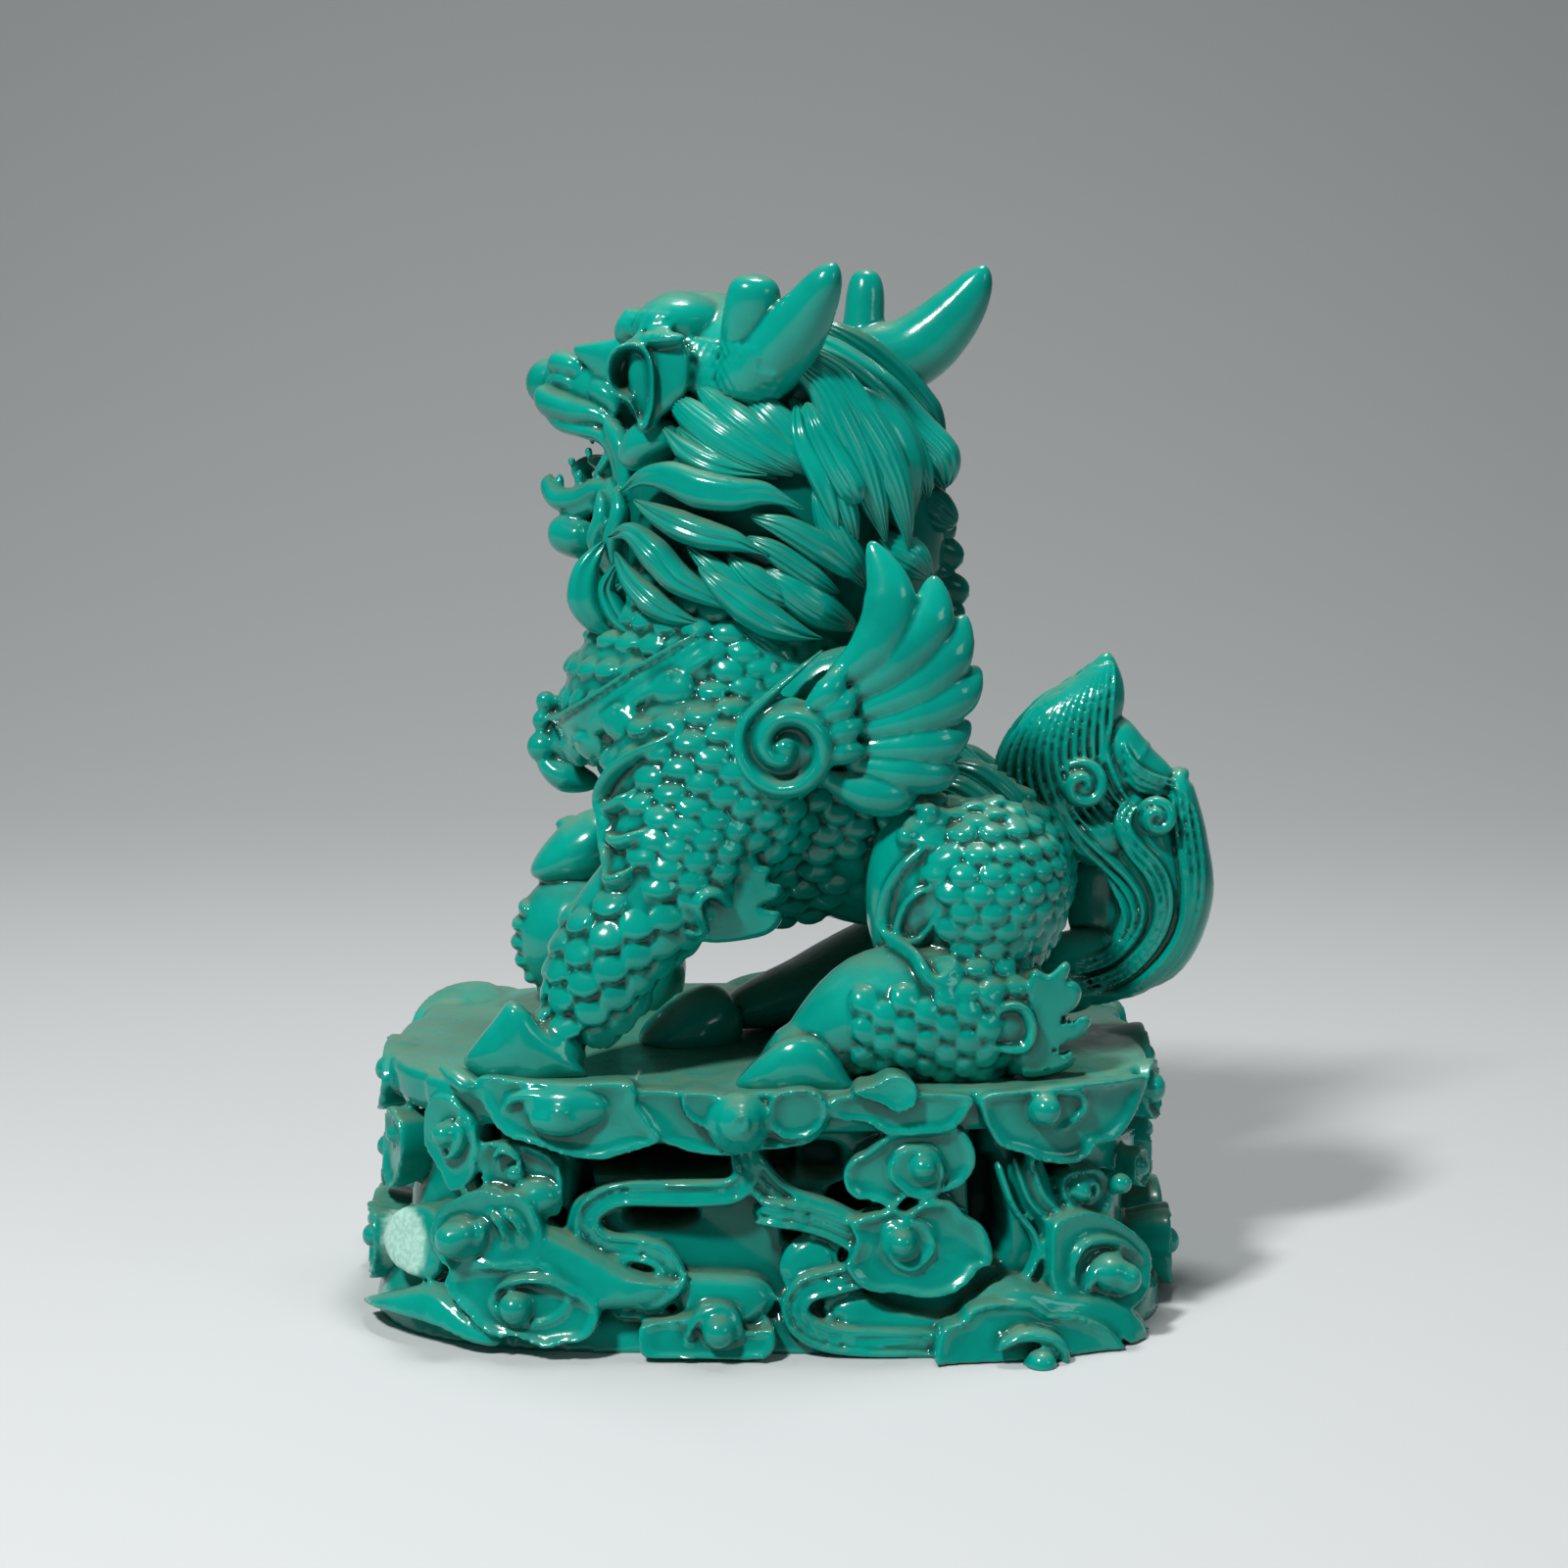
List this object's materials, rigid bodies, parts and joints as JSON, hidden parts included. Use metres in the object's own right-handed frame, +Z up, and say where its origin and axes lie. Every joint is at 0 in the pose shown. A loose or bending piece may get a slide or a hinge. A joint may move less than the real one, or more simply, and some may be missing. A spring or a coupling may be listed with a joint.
{
  "type": "qilin figure",
  "caption": "Moulded turquoise-green ornament: a seated, scaled, winged qilin with horns and a flame tail, on an oval plinth of carved clouds and streams.",
  "frame": {"origin": "centre of the plinth's flat underside", "axes": "+Z up, +X along the plinth towards the tail, so the beast faces -X with its head turned a little to +Y; -Y is the side the picture shows"},
  "size_m": [0.0788, 0.0588, 0.093],
  "materials": {
    "turquoise_resin": "glossy moulded resin, with dust and brown dirt on what faces up and in the recesses"
  },
  "bodies": {
    "root": {"qilin_figure": "turquoise_resin"}
  },
  "joints": []
}
